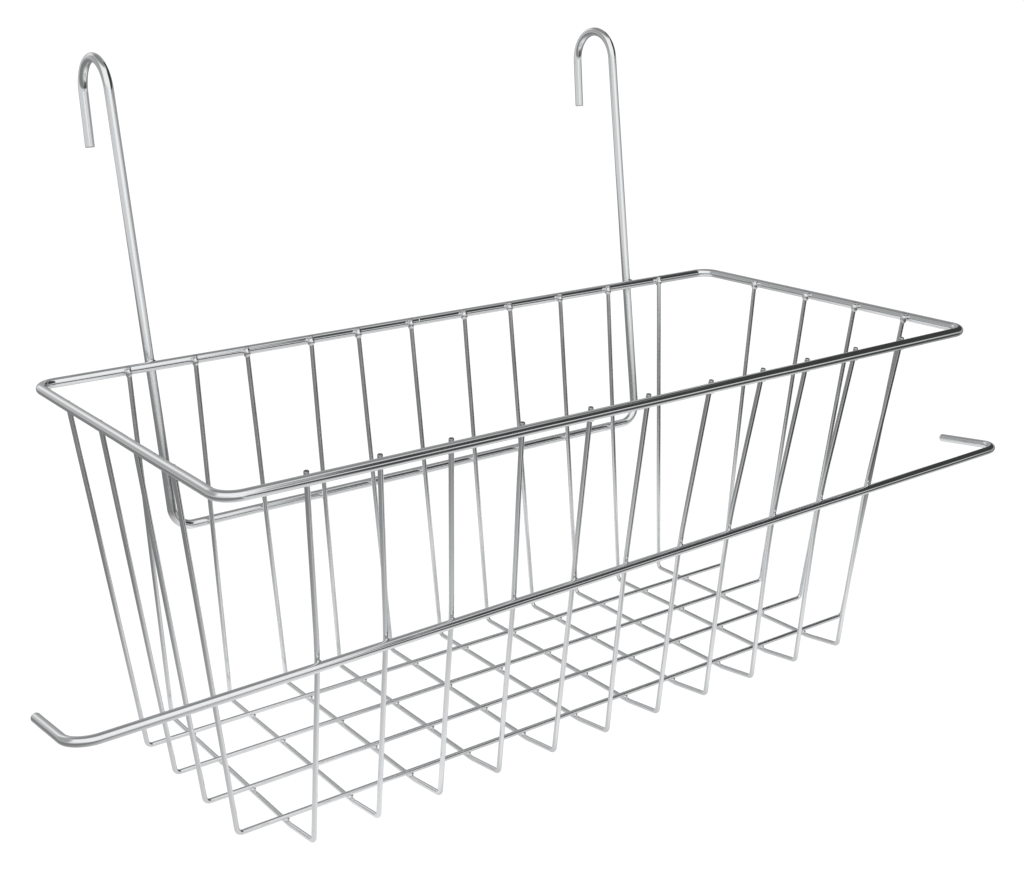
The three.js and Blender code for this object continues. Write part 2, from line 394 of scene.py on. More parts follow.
# %% Wire tree


def wire_place(tree):
    """Place on the wire: the distance along it, then the place in its section."""
    ring = add_node(tree, "ShaderNodeSeparateXYZ", {0: recall(tree, "ring")})
    parts = {0: recall(tree, "along", "FLOAT"), 1: ring.outputs[0], 2: ring.outputs[1]}
    return add_node(tree, "ShaderNodeCombineXYZ", parts).outputs[0]


def wire_tree():
    outputs = [("Wire", "NodeSocketGeometry", None)]
    tree, given, result = new_group("GeometryNodeTree", "bent_wire", WIRE_INPUTS, outputs)
    radius = math_node(tree, "DIVIDE", given.outputs["Wire Diameter"], 2.0)
    along = add_node(tree, "GeometryNodeSplineParameter").outputs["Length"]
    path = store(tree, wandering_path(tree, given), "along", along, "FLOAT")
    path = store(tree, path, "cut_end", cut_share(tree, given), "FLOAT")
    circle_sizes = {"Resolution": given.outputs["Sides"], "Radius": radius}
    circle = add_node(tree, "GeometryNodeCurvePrimitiveCircle", circle_sizes).outputs[0]
    section = store(tree, circle, "ring", add_node(tree, "GeometryNodeInputPosition").outputs[0])
    sweep = {
        "Curve": path,
        "Profile Curve": section,
        "Scale": cut_end_scale(tree, given, radius),
        "Fill Caps": True,
    }
    skin = add_node(tree, "GeometryNodeCurveToMesh", sweep).outputs[0]
    wire = store(tree, skin, "wire_place", wire_place(tree))
    tree.links.new(dress(tree, wire, given.outputs["Material"]), result.inputs["Wire"])
    return tree


WIRE_TREE = wire_tree()
print("geometry tree:", WIRE_TREE.name, "with", len(WIRE_TREE.nodes), "nodes")

# %% [markdown]
# ## Paths
# A bending machine makes straight runs and round bends, so a path is a list of corners and bend radii. The
# arc at each corner is laid out by turning its first point about the bend's middle. Straight runs get a few
# points too, so that a wire can wander between its bends, and each cut end gets a few points close together
# for its rounded edge.

# %% Bends, runs and cut ends
BEND_STEP = math.radians(5)
RUN_STEP = 9 * MM
CUT_EDGE = 0.35 * MM
CUT_SHARES = (0.0, 0.06, 0.25, 0.55, 1.0, 2.0)


def bend_points(before, corner, after, radius):
    into = (corner - before).normalized()
    out = (after - corner).normalized()
    turn = into.angle(out)
    axis = into.cross(out).normalized()
    start = corner - into * radius * math.tan(turn / 2)
    middle = start + axis.cross(into) * radius
    steps = max(2, math.ceil(turn / BEND_STEP))
    return [middle + Matrix.Rotation(turn * i / steps, 3, axis) @ (start - middle) for i in range(steps + 1)]


def run_points(start, end):
    """Points between start and end, without either of them."""
    steps = max(1, round((end - start).length / RUN_STEP))
    return [start.lerp(end, i / steps) for i in range(1, steps)]


def cut_points(end, inside):
    """Points of a cut end, from the end inwards."""
    inward = (inside - end).normalized()
    return [end + inward * CUT_EDGE * share for share in CUT_SHARES]


print("points in a right-angle bend:", math.ceil(math.pi / 2 / BEND_STEP) + 1)

# %% Chains of points


def join_runs(stretches):
    """One chain of points: the stretches, with straight runs filled in between them."""
    chain = list(stretches[0])
    for stretch in stretches[1:]:
        if (stretch[0] - chain[-1]).length < CUT_EDGE:
            chain += stretch[1:]
        else:
            chain += run_points(chain[-1], stretch[0]) + list(stretch)
    return chain


def open_path(corners, radii):
    bends = [bend_points(*corners[i : i + 3], radius) for i, radius in enumerate(radii)]
    first = cut_points(corners[0], corners[1])
    last = list(reversed(cut_points(corners[-1], corners[-2])))
    return join_runs([first, *bends, last])


def closed_path(corners, radius):
    count = len(corners)
    bends = [bend_points(corners[i - 1], corners[i], corners[(i + 1) % count], radius) for i in range(count)]
    return join_runs(bends) + run_points(bends[-1][-1], bends[0][0])


print("kinds of path:", open_path.__name__, closed_path.__name__)

# %% [markdown]
# ## From a path to a wire
# The tree runs as a modifier on the chain of points. Its result is kept as a plain mesh, because only real
# geometry leaves Blender, and the new wire takes the place of the solid of its name.

# %% Run a tree


def bake_modifier(thing, tree, values):
    """Runs a geometry tree on an object and keeps the result as its plain mesh."""
    modifier = thing.modifiers.new(tree.name, "NODES")
    modifier.node_group = tree
    for item in tree.interface.items_tree:
        if item.item_type == "SOCKET" and item.in_out == "INPUT" and item.name in values:
            modifier[item.identifier] = values[item.name]
    bpy.context.scene.collection.objects.link(thing)
    evaluated = thing.evaluated_get(bpy.context.evaluated_depsgraph_get())
    made = bpy.data.meshes.new_from_object(evaluated)
    made.name = thing.name
    thing.modifiers.remove(modifier)
    thing.data = made


print("trees are run by:", bake_modifier.__name__)

# %% Make a wire
WIRE_WANDER = 0.25 * MM


def make_wire(node, points, diameter, sides, material, closed=False):
    """Sweeps a wire along the points, in place of the frame's solid of that name."""
    links = [(i, i + 1) for i in range(len(points) - 1)]
    if closed:
        links.append((len(points) - 1, 0))
    chain = bpy.data.meshes.new(f"{node}_path")
    chain.from_pydata(points, links, [])
    wire = bpy.data.objects.new(f"{node}_wire", chain)
    values = {
        "Wire Diameter": diameter,
        "Sides": sides,
        "Cut Edge": 0.0 if closed else CUT_EDGE,
        "Wander": WIRE_WANDER,
        "Seed": float(sum(map(ord, node))),
        "Material": material,
    }
    bake_modifier(wire, WIRE_TREE, values)
    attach(wire, "root")
    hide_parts(node)
    return wire


print("a wire wanders by mm:", WIRE_WANDER / MM)

# %% [markdown]
# ## The rim
# The basket's top edge is one thick wire bent into a rounded rectangle and welded end to end. Its sizes
# are read from the solid's box: the box is one wire high, and one wire longer and wider than the path.

# %% Rim
THICK_SIDES = 32
RIM_CORNER_RADIUS = 10 * MM

rim_low, rim_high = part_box("rim")
rim_wire = rim_high.z - rim_low.z
rim_middle = (rim_low + rim_high) / 2
rim_reach = (rim_high - rim_low) / 2 - Vector((rim_wire, rim_wire, 0)) / 2


def rim_corner(side_x, side_y):
    return rim_middle + Vector((side_x * rim_reach.x, side_y * rim_reach.y, 0))


rim_corners = [rim_corner(*sides) for sides in ((-1, -1), (1, -1), (1, 1), (-1, 1))]
rim_path = closed_path(rim_corners, RIM_CORNER_RADIUS)
make_wire("rim", rim_path, rim_wire, THICK_SIDES, FRAME_CHROME, closed=True)
print("rim wire in mm:", round(rim_wire / MM, 2))

# %% [markdown]
# ## The wire grid
# Eleven cross wires run under the basket from wall to wall, and four long wires lie on top of them. Each
# is one U. Their tips end inside the rim, just above its top, or below its middle on the left. The floor is
# evenly spaced, but the tips were set by hand: the long wires' tips lie further back on the left and further
# forward on the right, and each back tip of a cross wire lies a little to the left or right of its even
# place. The grid's sizes are the ones that the solids were made from. On top of them comes what the solids
# leave out: in the picture the wires of the front wall sway a few millimetres, most at the bar on the right,
# and so do the right tips of the long wires.

# %% Heights of the grid
MESH_WIRE = 2.5 * MM
WELD_GAP = 0.3 * MM
FRONT_LIP_RISE = 3 * MM
TIP_ABOVE_RIM_MIDDLE = 2.8 * MM
LEFT_TIP_BELOW_RIM_MIDDLE = 1 * MM

cross_floor_z = MESH_WIRE / 2
long_floor_z = cross_floor_z + MESH_WIRE + WELD_GAP
rim_z = rim_middle.z
tip_z = rim_z + TIP_ABOVE_RIM_MIDDLE
left_tip_z = rim_z - LEFT_TIP_BELOW_RIM_MIDDLE
inside_rim = (rim_wire + MESH_WIRE) / 2 + WELD_GAP


def between(z, low_z, low, high):
    """Value at height z on a straight wall run from the floor, low, to the rim, high."""
    return low + (high - low) * (z - low_z) / (rim_z - low_z)


def wall_foot_z(side):
    """Height at which the cross wires' wall run starts: side -1 is the front wall, +1 the back wall."""
    return cross_floor_z + FRONT_LIP_RISE if side < 0 else cross_floor_z


print("walls in mm, front and back:", [round((rim_z - wall_foot_z(side)) / MM, 1) for side in (-1, 1)])

# %% Spacing of the grid
FLOOR_WIDTH = 160 * MM
CROSS_COUNT = 11
CROSS_PITCH = 35 * MM
LONG_COUNT = 4
LONG_PITCH = 35 * MM


def cross_place(i):
    """Place of a cross wire in pitches from the middle of the floor, from left to right."""
    return i - (CROSS_COUNT - 1) / 2


def long_place(i):
    """Place of a long wire in pitches from the middle of the floor, from back to front."""
    return (LONG_COUNT - 1) / 2 - i


def cross_wall_y(side, z):
    tip_y = rim_middle.y + side * (rim_reach.y - inside_rim)
    return between(z, wall_foot_z(side), side * FLOOR_WIDTH / 2, tip_y)


print("crossings on the floor:", CROSS_COUNT * LONG_COUNT)

# %% Walls of the cross wires
CROSS_FRONT_PITCH = 36.5 * MM
BACK_TIP_SHIFTS = [shift * MM for shift in (-2, 0, -5, -1, -6, -6, -4, -6, -3, 0, 7)]
BAR_DROP = 88.5 * MM
FRONT_TIP_SWAY = [sway * MM for sway in (-2, -3.5, -4, -2.5, 0, -1.5, 2, 0.5, -4.5, -5, -5.5)]
FRONT_BAR_SWAY = [sway * MM for sway in (2.5, 1.5, 1, 0.5, 0.5, -2.5, -2.5, -5, -8, -8.5, -7)]


def front_sway(i, z):
    """How far a wire of the front wall lies beside its straight line: nothing at the floor."""
    bar_z = rim_z - BAR_DROP
    if z < bar_z:
        return FRONT_BAR_SWAY[i] * (z - wall_foot_z(-1)) / (bar_z - wall_foot_z(-1))
    above_bar = (z - bar_z) / (rim_z - bar_z)
    return FRONT_BAR_SWAY[i] * (1 - above_bar) + FRONT_TIP_SWAY[i] * above_bar


def cross_x(i, side, z):
    floor_x = cross_place(i) * CROSS_PITCH
    if side < 0:
        return between(z, wall_foot_z(-1), floor_x, cross_place(i) * CROSS_FRONT_PITCH) + front_sway(i, z)
    return between(z, wall_foot_z(1), floor_x, floor_x + BACK_TIP_SHIFTS[i])


print("most sway of a front wire in mm:", max(abs(sway) for sway in FRONT_TIP_SWAY + FRONT_BAR_SWAY) / MM)

# %% Cross wires
THIN_SIDES = 24
FRONT_LIP_FROM_LONG_WIRE = 4 * MM
MESH_BEND_RADIUS = 3 * MM
SWAY_RADIUS = 300 * MM


def cross_corners(i):
    x = cross_place(i) * CROSS_PITCH
    lip_y = long_place(LONG_COUNT - 1) * LONG_PITCH - FRONT_LIP_FROM_LONG_WIRE
    return [
        Vector((cross_x(i, 1, tip_z), cross_wall_y(1, tip_z), tip_z)),
        Vector((x, FLOOR_WIDTH / 2, cross_floor_z)),
        Vector((x, lip_y, cross_floor_z)),
        Vector((x, -FLOOR_WIDTH / 2, wall_foot_z(-1))),
        Vector((cross_x(i, -1, rim_z - BAR_DROP), cross_wall_y(-1, rim_z - BAR_DROP), rim_z - BAR_DROP)),
        Vector((cross_x(i, -1, tip_z), cross_wall_y(-1, tip_z), tip_z)),
    ]


def make_grid_wire(node, corners, radii):
    make_wire(node, open_path(corners, radii), MESH_WIRE, THIN_SIDES, MESH_CHROME)


for i in range(CROSS_COUNT):
    make_grid_wire(f"cross_wire_{i + 1:02d}", cross_corners(i), [MESH_BEND_RADIUS] * 3 + [SWAY_RADIUS])
print("cross wires:", CROSS_COUNT)

# %% Long wires
FLOOR_LENGTH = 409 * MM
FLOOR_RIGHT = 4 * MM
LONG_RIM_PITCH = 41 * MM
LEFT_TIPS_BACK = 11.5 * MM
RIGHT_TIPS_FORWARD = 7 * MM
RIGHT_TIP_SWAY = [sway * MM for sway in (1.5, -1.5, 0, 4)]


def long_wall(i, side, z):
    """Middle of a long wire's wall run at a height: side -1 is the left wall, +1 the right wall."""
    foot_x = FLOOR_RIGHT + side * FLOOR_LENGTH / 2
    tip_shift = LEFT_TIPS_BACK if side < 0 else RIGHT_TIP_SWAY[i] - RIGHT_TIPS_FORWARD
    tip_y = rim_middle.y + long_place(i) * LONG_RIM_PITCH + tip_shift
    x = between(z, long_floor_z, foot_x, rim_middle.x + side * (rim_reach.x - inside_rim))
    y = between(z, long_floor_z, long_place(i) * LONG_PITCH, tip_y)
    return Vector((x, y, z))


def long_corners(i):
    ends = ((-1, left_tip_z), (-1, long_floor_z), (1, long_floor_z), (1, tip_z))
    return [long_wall(i, side, z) for side, z in ends]


for i in range(LONG_COUNT):
    make_grid_wire(f"long_wire_{i + 1}", long_corners(i), [MESH_BEND_RADIUS] * 2)
print("long wires:", LONG_COUNT)

# %% [markdown]
# ## The hanger
# One thick wire makes both hooks: it hangs over the cart's rail, runs down behind the rim, across the
# outside of the back wall and up again. It leans, because it touches the rim above and the wall wires
# below, and the hooks are bent in the same lean, with their tips opened a little. So the lean isn't a
# number to choose: it follows from the two places that the hanger touches.

# %% Lean of the hanger
HANGER_WIRE = 5 * MM
HANGER_RUN_DROP = 89 * MM


def outside_wall(side, diameter):
    """Level distance from a wall wire's middle to the middle of a wire that lies against its outside."""
    foot = wall_foot_z(side)
    lean = math.atan2(cross_wall_y(side, rim_z) - cross_wall_y(side, foot), rim_z - foot)
    return ((MESH_WIRE + diameter) / 2 + WELD_GAP) / math.cos(lean)


run_z = rim_z - HANGER_RUN_DROP
run_y = cross_wall_y(1, run_z) + outside_wall(1, HANGER_WIRE)
pass_y = rim_middle.y + rim_reach.y + (rim_wire + HANGER_WIRE) / 2 + WELD_GAP
leg_up = Vector((0, pass_y - run_y, rim_z - run_z)).normalized()
leg_back = Vector((0, leg_up.z, -leg_up.y))
print("hanger leans by degrees:", round(math.degrees(math.atan2(leg_up.y, leg_up.z)), 2))

# %% Hanger
HANGER_RUN_LENGTH = 322 * MM
HOOK_SPAN = 328 * MM
HANGER_BEND_RADIUS = 11 * MM
LEG_ABOVE_RIM = 139.5 * MM
HOOK_MOUTH = 30 * MM
HOOK_TIP_LENGTH = 28.5 * MM
HOOK_FLARE = math.radians(3.5)

hook_radius = (HOOK_MOUTH + HANGER_WIRE) / 2
hook_tip_way = Matrix.Rotation(HOOK_FLARE, 3, "X") @ -leg_up
far_reach = hook_radius * math.tan((math.pi / 2 - HOOK_FLARE) / 2)


def hook_corners(side):
    leg_top = Vector((side * HOOK_SPAN / 2, pass_y, rim_z)) + leg_up * LEG_ABOVE_RIM / leg_up.z
    near_bow = leg_top + leg_up * hook_radius
    far_bow = near_bow + leg_back * (hook_radius + far_reach)
    tip = far_bow + hook_tip_way * (far_reach + HOOK_TIP_LENGTH)
    return [tip, far_bow, near_bow]


def hanger_path():
    feet = [Vector((rim_middle.x + side * HANGER_RUN_LENGTH / 2, run_y, run_z)) for side in (-1, 1)]
    corners = hook_corners(-1) + feet + list(reversed(hook_corners(1)))
    radii = [hook_radius] * 2 + [HANGER_BEND_RADIUS] * 2 + [hook_radius] * 2
    return open_path(corners, radii)


make_wire("hanger", hanger_path(), HANGER_WIRE, THICK_SIDES, FRAME_CHROME)
print("hooks apart in mm:", round(HOOK_SPAN / MM, 1))

# %% [markdown]
# ## The front bar
# A straight wire lies across the outside of the front wall, longer than the basket, with both ends bent
# back. On this basket it is welded on with a slight slant, right end higher. It lies against the leaning
# wall wires, so each end's depth follows from its height. The picture shows it dark and nearly as thick as
# the rim, so it is drawn half a millimetre thicker than its solid.

# %% Front bar
BAR_WIRE = 4.5 * MM
BAR_LENGTH = 573 * MM
BAR_LEFT = 2 * MM
BAR_RISE = 11 * MM
BAR_BEND_RADIUS = 12 * MM
BAR_RETURN = 43 * MM
BAR_RETURN_DROP = 5 * MM


def bar_point(share):
    """Middle of the bar: share -1 is its left corner, +1 its right corner."""
    z = rim_z - BAR_DROP + share * BAR_RISE / 2
    return Vector((share * BAR_LENGTH / 2 - BAR_LEFT, cross_wall_y(-1, z) - outside_wall(-1, BAR_WIRE), z))


bar_back = Vector((0, BAR_RETURN, -BAR_RETURN_DROP))
bar_corners = [bar_point(-1) + bar_back, bar_point(-1), bar_point(1), bar_point(1) + bar_back]
bar_path = open_path(bar_corners, [BAR_BEND_RADIUS] * 2)
make_wire("front_bar", bar_path, BAR_WIRE, THICK_SIDES, FRAME_CHROME)
print("front bar slants by degrees:", round(math.degrees(math.atan2(BAR_RISE, BAR_LENGTH)), 2))

# %% [markdown]
# ## Weld beads
# Where two wires cross they are pressed together and welded with a current, and a little molten steel
# squeezes out around the touch. Plated over, it shows as a small bright knot. Each bead is a flattened ball
# with a lumpy skin. Set by hand they would all look alike, so one tree sets a bead at each point, turned by
# two directions that the point carries, and makes each a little larger or smaller.

# %% Shape of a bead
BEAD_LEAST, BEAD_MOST = 0.86, 1.14


def set_beads(tree, given):
    """Flattened balls at the places, turned and sized by what the places carry."""
    ball_sizes = {"Radius": 1.0, "Subdivisions": given.outputs["Fineness"]}
    ball = add_node(tree, "GeometryNodeMeshIcoSphere", ball_sizes).outputs[0]
    axes = {"Primary Axis": recall(tree, "bead_normal"), "Secondary Axis": recall(tree, "bead_axis")}
    turn = add_node(tree, "FunctionNodeAxesToRotation", axes, primary_axis="Z", secondary_axis="X").outputs[0]
    limits = {"Min": (BEAD_LEAST,) * 3, "Max": (BEAD_MOST,) * 3, "Seed": given.outputs["Seed"]}
    vary = add_node(tree, "FunctionNodeRandomValue", limits, data_type="FLOAT_VECTOR").outputs[0]
    size = vector_node(tree, "MULTIPLY", recall(tree, "bead_size"), vary)
    places = {"Points": given.outputs["Places"], "Instance": ball, "Rotation": turn, "Scale": size}
    return add_node(tree, "GeometryNodeInstanceOnPoints", places).outputs[0]


def lumps(tree, given):
    """How far the skin of a bead moves out or in."""
    look = {
        "Vector": add_node(tree, "GeometryNodeInputPosition").outputs[0],
        "Scale": math_node(tree, "DIVIDE", 1.0, given.outputs["Lump Size"]),
        "Detail": 1.0,
    }
    noise = add_node(tree, "ShaderNodeTexNoise", look).outputs["Fac"]
    centred = math_node(tree, "SUBTRACT", noise, NOISE_MIDDLE)
    height = math_node(tree, "MULTIPLY", centred, given.outputs["Lump Height"])
    return scale_vector(tree, add_node(tree, "GeometryNodeInputNormal").outputs[0], height)


print("bead sizes vary between:", BEAD_LEAST, "and", BEAD_MOST)

# %% Weld tree
WELD_INPUTS = [
    ("Places", "NodeSocketGeometry", None),
    ("Fineness", "NodeSocketInt", 3),
    ("Lump Height", "NodeSocketFloat", 0.0003),
    ("Lump Size", "NodeSocketFloat", 0.0012),
    ("Seed", "NodeSocketInt", 5),
    ("Material", "NodeSocketMaterial", None),
]


def weld_tree():
    outputs = [("Beads", "NodeSocketGeometry", None)]
    tree, given, result = new_group("GeometryNodeTree", "weld_beads", WELD_INPUTS, outputs)
    real = add_node(tree, "GeometryNodeRealizeInstances", {0: set_beads(tree, given)}).outputs[0]
    skin = {"Geometry": real, "Offset": lumps(tree, given)}
    lumpy = add_node(tree, "GeometryNodeSetPosition", skin).outputs[0]
    beads = store(tree, lumpy, "wire_place", add_node(tree, "GeometryNodeInputPosition").outputs[0])
    tree.links.new(dress(tree, beads, given.outputs["Material"]), result.inputs["Beads"])
    return tree


WELD_TREE = weld_tree()
print("geometry tree:", WELD_TREE.name, "with", len(WELD_TREE.nodes), "nodes")

# %% [markdown]
# ## Where the welds are
# Every touch of two wires is a weld: the floor's crossings, the tips against the rim, the hanger's legs
# against the rim and its run against the back wall, and the bar against the front wall. The rim's own ends
# meet in a butt weld in the middle of the back. The places come from the same functions as the wires. In the
# picture the tips at the back and on the right end in light knots, so those beads are fuller and close over
# the wire's tip. At the front and on the left the rim hides them.

# %% Welds of the grid
Bead = namedtuple("Bead", "place normal axis size")
TipWeld = namedtuple("TipWeld", "size inward drop")
X_AXIS, Y_AXIS, Z_AXIS = Vector((1, 0, 0)), Vector((0, 1, 0)), Vector((0, 0, 1))
FLOOR_BEAD = Vector((1.75, 1.75, 0.95)) * MM
FULL_BEAD = Vector((1.8, 2.8, 2.1)) * MM
SLIM_BEAD = Vector((1.9, 2.5, 1.7)) * MM
BACK_WELD = TipWeld(FULL_BEAD, inward=1.3 * MM, drop=0.5 * MM)
RIGHT_WELD = BACK_WELD
FRONT_WELD = TipWeld(SLIM_BEAD, inward=0.7 * MM, drop=1.6 * MM)
LEFT_WELD = TipWeld(SLIM_BEAD, inward=0.7 * MM, drop=2.8 * MM)


def floor_beads():
    z = cross_floor_z + (MESH_WIRE + WELD_GAP) / 2
    for i in range(CROSS_COUNT):
        for j in range(LONG_COUNT):
            place = Vector((cross_place(i) * CROSS_PITCH, long_place(j) * LONG_PITCH, z))
            yield Bead(place, Z_AXIS, X_AXIS, FLOOR_BEAD)


def tip_beads():
    """Beads of the tips, inward of the rim's inner face and a drop below its middle."""
    for side, cross_weld, long_weld in ((-1, FRONT_WELD, LEFT_WELD), (1, BACK_WELD, RIGHT_WELD)):
        y = rim_middle.y + side * (rim_reach.y - rim_wire / 2 - cross_weld.inward)
        for i in range(CROSS_COUNT):
            place = Vector((cross_x(i, side, rim_z), y, rim_z - cross_weld.drop))
            yield Bead(place, Y_AXIS * side, X_AXIS, cross_weld.size)
        x = rim_middle.x + side * (rim_reach.x - rim_wire / 2 - long_weld.inward)
        for i in range(LONG_COUNT):
            place = Vector((x, long_wall(i, side, rim_z).y, rim_z - long_weld.drop))
            yield Bead(place, X_AXIS * side, Y_AXIS, long_weld.size)


print("welds of the grid:", len(list(floor_beads())), "on the floor,", len(list(tip_beads())), "at the rim")

# %% Welds of the frame
LEG_BEAD = Vector((3.2, 3.0, 1.5)) * MM
CROSSING_BEAD = Vector((1.9, 2.0, 1.1)) * MM
BUTT_BEAD = Vector((1.2, 2.72, 2.72)) * MM


def hanger_beads():
    leg_share = (rim_z - run_z) / (rim_z + LEG_ABOVE_RIM + hook_radius - run_z)
    rim_touch_y = rim_middle.y + rim_reach.y + (rim_wire + WELD_GAP) / 2
    for side in (-1, 1):
        foot_x = rim_middle.x + side * HANGER_RUN_LENGTH / 2
        x = foot_x + (side * HOOK_SPAN / 2 - foot_x) * leg_share
        yield Bead(Vector((x, rim_touch_y, rim_z)), Y_AXIS, X_AXIS, LEG_BEAD)
    for i in range(CROSS_COUNT):
        x = cross_x(i, 1, run_z)
        if abs(x - rim_middle.x) < HANGER_RUN_LENGTH / 2 - HANGER_BEND_RADIUS:
            y = run_y - (HANGER_WIRE + WELD_GAP) / 2
            yield Bead(Vector((x, y, run_z)), Y_AXIS, X_AXIS, CROSSING_BEAD)


def bar_beads():
    for i in range(CROSS_COUNT):
        middle = bar_point(2 * (cross_x(i, -1, rim_z - BAR_DROP) + BAR_LEFT) / BAR_LENGTH)
        yield Bead(middle + Y_AXIS * (BAR_WIRE + WELD_GAP) / 2, Y_AXIS, X_AXIS, CROSSING_BEAD)


def butt_beads():
    yield Bead(rim_middle + Y_AXIS * rim_reach.y, Z_AXIS, X_AXIS, BUTT_BEAD)


print("welds of the frame:", sum(len(list(beads())) for beads in (hanger_beads, bar_beads, butt_beads)))

# %% Make the beads
FINE, PLAIN = 3, 2


def make_beads(name, beads, fineness):
    beads = list(beads)
    cloud = bpy.data.meshes.new(f"{name}_places")
    cloud.from_pydata([bead.place for bead in beads], [], [])
    for field in ("normal", "axis", "size"):
        layer = cloud.attributes.new(f"bead_{field}", "FLOAT_VECTOR", "POINT")
        layer.data.foreach_set("vector", [value for bead in beads for value in getattr(bead, field)])
    welds = bpy.data.objects.new(name, cloud)
    bake_modifier(welds, WELD_TREE, {"Fineness": fineness, "Material": WELD_CHROME})
    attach(welds, "root")
    print(name, len(beads))


make_beads("floor_welds", floor_beads(), PLAIN)
make_beads("rim_tip_welds", tip_beads(), FINE)
make_beads("hanger_welds", hanger_beads(), FINE)
make_beads("front_bar_welds", bar_beads(), FINE)
make_beads("rim_butt_weld", butt_beads(), FINE)

# %% [markdown]
# ## The floor
# Chrome looks like what stands around it, so floor and studio are most of the picture. The basket stands on
# white paper, and the camera sees plain white. What the wires mirror of the paper is told by the picture:
# the upright wires are light at their feet and grow darker upwards, so the paper's painted glow is bright
# close around the basket, a little dimmer under it as a painted shadow of the basket, and dim a hand further
# out. The wires that run along the basket are dark below on the right, so the paper in front of it is darkest
# on the right, with a lighter stripe to the left of that. A paper lit by lamps could do this, but its own
# painted light is simpler to set and has no noise.

# %% Places on the floor
LEFT_BRIGHT_LESS = 0.1
TURN_SOFTNESS = 0.04


def direction(turn, rise=0):
    """Direction at a turn clockwise from the cart's side, seen from above, and a rise above the horizon."""
    turn, rise = math.radians(turn), math.radians(rise)
    return (math.sin(turn) * math.cos(rise), math.cos(turn) * math.cos(rise), math.sin(rise))


def between_turns(tree, way, turns, soft, lean=0):
    """One where a way points between two turns less than half a circle apart, and zero elsewhere.

    With a lean the two ends draw together upwards.
    """
    inward = [direction(turn, -lean) for turn in (turns[0] + 90, turns[1] - 90)]
    sides = [vector_node(tree, "DOT_PRODUCT", way, into) for into in inward]
    masks = [map_range(tree, side, -soft, soft, 0.0, 1.0) for side in sides]
    return math_node(tree, "MULTIPLY", *masks)


def basket_distance(tree, place):
    """Level distance from the basket's floor, which counts as a little shorter on its left."""
    middle = (FLOOR_RIGHT + LEFT_BRIGHT_LESS / 2, 0.0, 0.0)
    half = (FLOOR_LENGTH / 2 - LEFT_BRIGHT_LESS / 2, FLOOR_WIDTH / 2, 0.0)
    spread = vector_node(tree, "ABSOLUTE", vector_node(tree, "SUBTRACT", place, middle))
    outside = vector_node(tree, "MAXIMUM", vector_node(tree, "SUBTRACT", spread, half))
    return vector_node(tree, "LENGTH", outside)


print("the camera stands at turn:", round(math.degrees(VIEW_TURN) + 180, 1))

# %% Lights and edges of the floor
PAPER_LIGHT = 1.05
# Under the basket the paper sends less light to the wires: a painted shadow of the basket.
BASKET_SHADOW_LIGHT = 0.7
BRIGHT_FLOOR_LIGHT = 1.05
DIM_FLOOR_LIGHT = 0.25
STRIPE_LIGHT = 0.75
DARK_SIDE_LIGHT = 0.07
FAR_FLOOR_LIGHT = 0.75
FAR_BEHIND_LIGHT = 0.4

# Each edge is two distances from the basket in metres, between which one light turns into the next.
BASKET_SHADOW_EDGE = (0.0, 0.02)
FRONT_EDGE = (0.03, 0.25)
BRIGHT_TO_DIM_EDGE = (-0.06, 0.33)
FAR_EDGE = (1.0, 2.2)

# Front and behind lie between turns in degrees, and the stripe between places along the basket in metres.
STRIPE_LEFT, STRIPE_RIGHT, STRIPE_BLUR = -0.14, -0.045, 0.045
FRONT = (112, 230)
BEHIND = (-30, 100)
BEHIND_SOFTNESS = 0.6
print("floor light from", BRIGHT_FLOOR_LIGHT, "at the basket down to", DARK_SIDE_LIGHT, "on the dark side")

# %% Light of the floor


def front_light(tree, place, distance, light):
    """The light with the stripe and the dark side laid over it in front of the basket."""
    outside = map_range(tree, distance, *FRONT_EDGE, 0.0, 1.0)
    front = math_node(tree, "MULTIPLY", between_turns(tree, place, FRONT, TURN_SOFTNESS), outside)
    across = add_node(tree, "ShaderNodeSeparateXYZ", {0: place}).outputs[0]
    for edge, edge_light in ((STRIPE_LEFT, STRIPE_LIGHT), (STRIPE_RIGHT, DARK_SIDE_LIGHT)):
        beyond_edge = map_range(tree, across, edge - STRIPE_BLUR, edge + STRIPE_BLUR, 0.0, 1.0)
        light = mix_value(tree, math_node(tree, "MULTIPLY", front, beyond_edge), light, edge_light)
    return light


def floor_light(tree):
    """What the floor sends to the wires."""
    place = add_node(tree, "ShaderNodeTexCoord").outputs["Object"]
    distance = basket_distance(tree, place)
    light = map_range(tree, distance, *BRIGHT_TO_DIM_EDGE, BRIGHT_FLOOR_LIGHT, DIM_FLOOR_LIGHT)
    light = front_light(tree, place, distance, light)
    # Painted shadow of the basket: the paper's light is lower under its floor.
    outside = map_range(tree, distance, *BASKET_SHADOW_EDGE, 0.0, 1.0)
    light = mix_value(tree, outside, BASKET_SHADOW_LIGHT, light)
    behind = between_turns(tree, place, BEHIND, BEHIND_SOFTNESS)
    far_light = mix_value(tree, behind, FAR_FLOOR_LIGHT, FAR_BEHIND_LIGHT)
    return mix_value(tree, map_range(tree, distance, *FAR_EDGE, 0.0, 1.0), light, far_light)


print("the floor is lit by:", front_light.__name__, floor_light.__name__)

# %% Floor
FLOOR_SIZE = 14.0


def floor_material():
    material = bpy.data.materials.new("paper_floor")
    material.use_nodes = True
    tree = material.node_tree
    tree.nodes.remove(tree.nodes["Principled BSDF"])
    seen = add_node(tree, "ShaderNodeLightPath").outputs["Is Camera Ray"]
    strength = mix_value(tree, seen, floor_light(tree), PAPER_LIGHT)
    light = add_node(tree, "ShaderNodeEmission", {"Strength": strength})
    tree.links.new(light.outputs[0], tree.nodes["Material Output"].inputs["Surface"])
    return material


